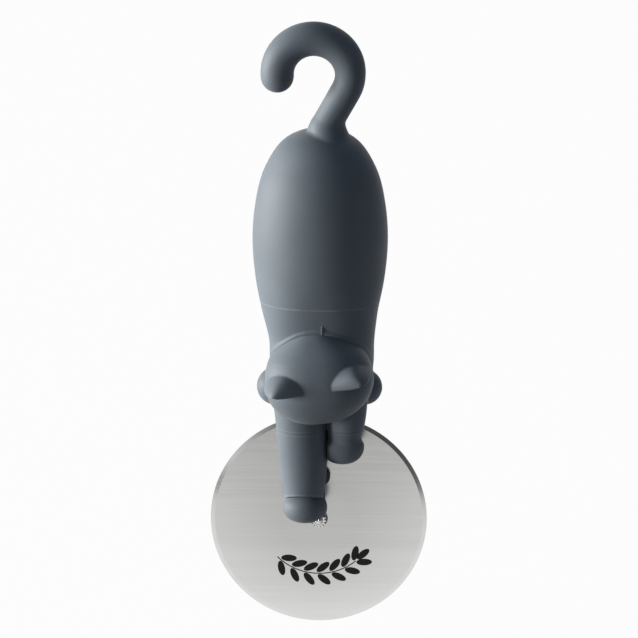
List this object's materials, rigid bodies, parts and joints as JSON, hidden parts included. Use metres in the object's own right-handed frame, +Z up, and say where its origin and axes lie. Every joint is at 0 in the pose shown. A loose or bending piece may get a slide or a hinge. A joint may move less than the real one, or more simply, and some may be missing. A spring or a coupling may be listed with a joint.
{
  "type": "pizza cutter",
  "caption": "Hand-held pizza cutter with a round steel blade, its grey handle shaped as a stretching cat whose curled tail is a hanging hook.",
  "frame": {"origin": "the point inside the tail's hook that bears on the rail or peg that the cutter hangs from", "axes": "+Z up the handle from the wheel to the tail; +Y from the cat's back towards its belly, along the axle; +X to the right, seen from the cat's back"},
  "size_m": [0.0801, 0.0572, 0.2337],
  "materials": {
    "grey_plastic": "slate grey soft-touch, fine satin grain",
    "blade_steel": "stainless steel brushed straight, ground bevel at the edge",
    "black_metal": "black coated steel, satin",
    "bright_metal": "bright chrome",
    "screw_steel": "zinc plated",
    "nylon": "natural nylon"
  },
  "bodies": {
    "cat": {"rear_body": "grey_plastic", "front_body": "grey_plastic", "head": "grey_plastic", "long_leg": "grey_plastic", "long_paw": "grey_plastic", "short_paw": "grey_plastic", "wheel_bracket": "black_metal", "axle": "bright_metal", "lock_cap": "bright_metal", "front_washer": "nylon", "rear_washer": "nylon", "body_core": "nylon", "tang_screw_low": "screw_steel", "tang_screw_high": "screw_steel", "belly_screw_front": "screw_steel", "belly_screw_rear": "screw_steel", "belly_plug_front": "grey_plastic", "belly_plug_rear": "grey_plastic", "head_screw": "screw_steel", "leg_screw": "screw_steel", "paw_screw": "screw_steel", "paw_dowel": "nylon"},
    "wheel": {"cutting_wheel": "blade_steel", "wheel_bush": "nylon"}
  },
  "joints": [
    {"name": "wheel_spin", "type": "hinge", "parent": "cat", "child": "wheel", "pos_m": [0.00275, 0.006, -0.1809], "axis": [0, 1, 0], "continuous": true}
  ]
}
